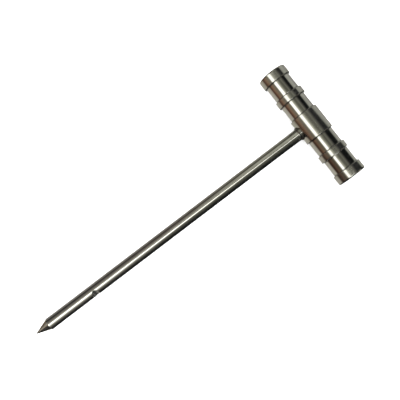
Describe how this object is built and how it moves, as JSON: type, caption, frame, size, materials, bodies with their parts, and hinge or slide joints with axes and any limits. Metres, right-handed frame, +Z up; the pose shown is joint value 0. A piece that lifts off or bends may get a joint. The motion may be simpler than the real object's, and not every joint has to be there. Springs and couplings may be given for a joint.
{
  "type": "garden dibber",
  "caption": "Stainless steel T-handled dibber: a pointed, notched rod screwed into a grip stacked from turned sleeves, rings and end caps.",
  "frame": {"origin": "on the surface the grip's rings rest on, below the middle of the overall length; the shaft's axis is 12.5 mm above it", "axes": "+X along the shaft from the point to the grip, +Y along the grip, +Z up with the tool lying flat"},
  "size_m": [0.2934, 0.107, 0.025],
  "materials": {
    "satin_steel": "satin turned stainless steel",
    "polished_steel": "polished stainless steel",
    "shaft_steel": "ground stainless rod, lightly brushed along its length",
    "stud_steel": "plain machined steel, hidden inside the grip"
  },
  "bodies": {
    "root": {"centre_barrel": "satin_steel", "mouth_ferrule": "satin_steel", "inner_sleeve_left": "polished_steel", "inner_sleeve_right": "polished_steel", "band_ring_left": "satin_steel", "band_ring_right": "satin_steel", "outer_sleeve_left": "polished_steel", "outer_sleeve_right": "polished_steel", "end_cap_left": "satin_steel", "end_cap_right": "satin_steel", "stud_left": "stud_steel", "stud_right": "stud_steel", "shaft": "shaft_steel", "point": "shaft_steel"}
  },
  "joints": []
}
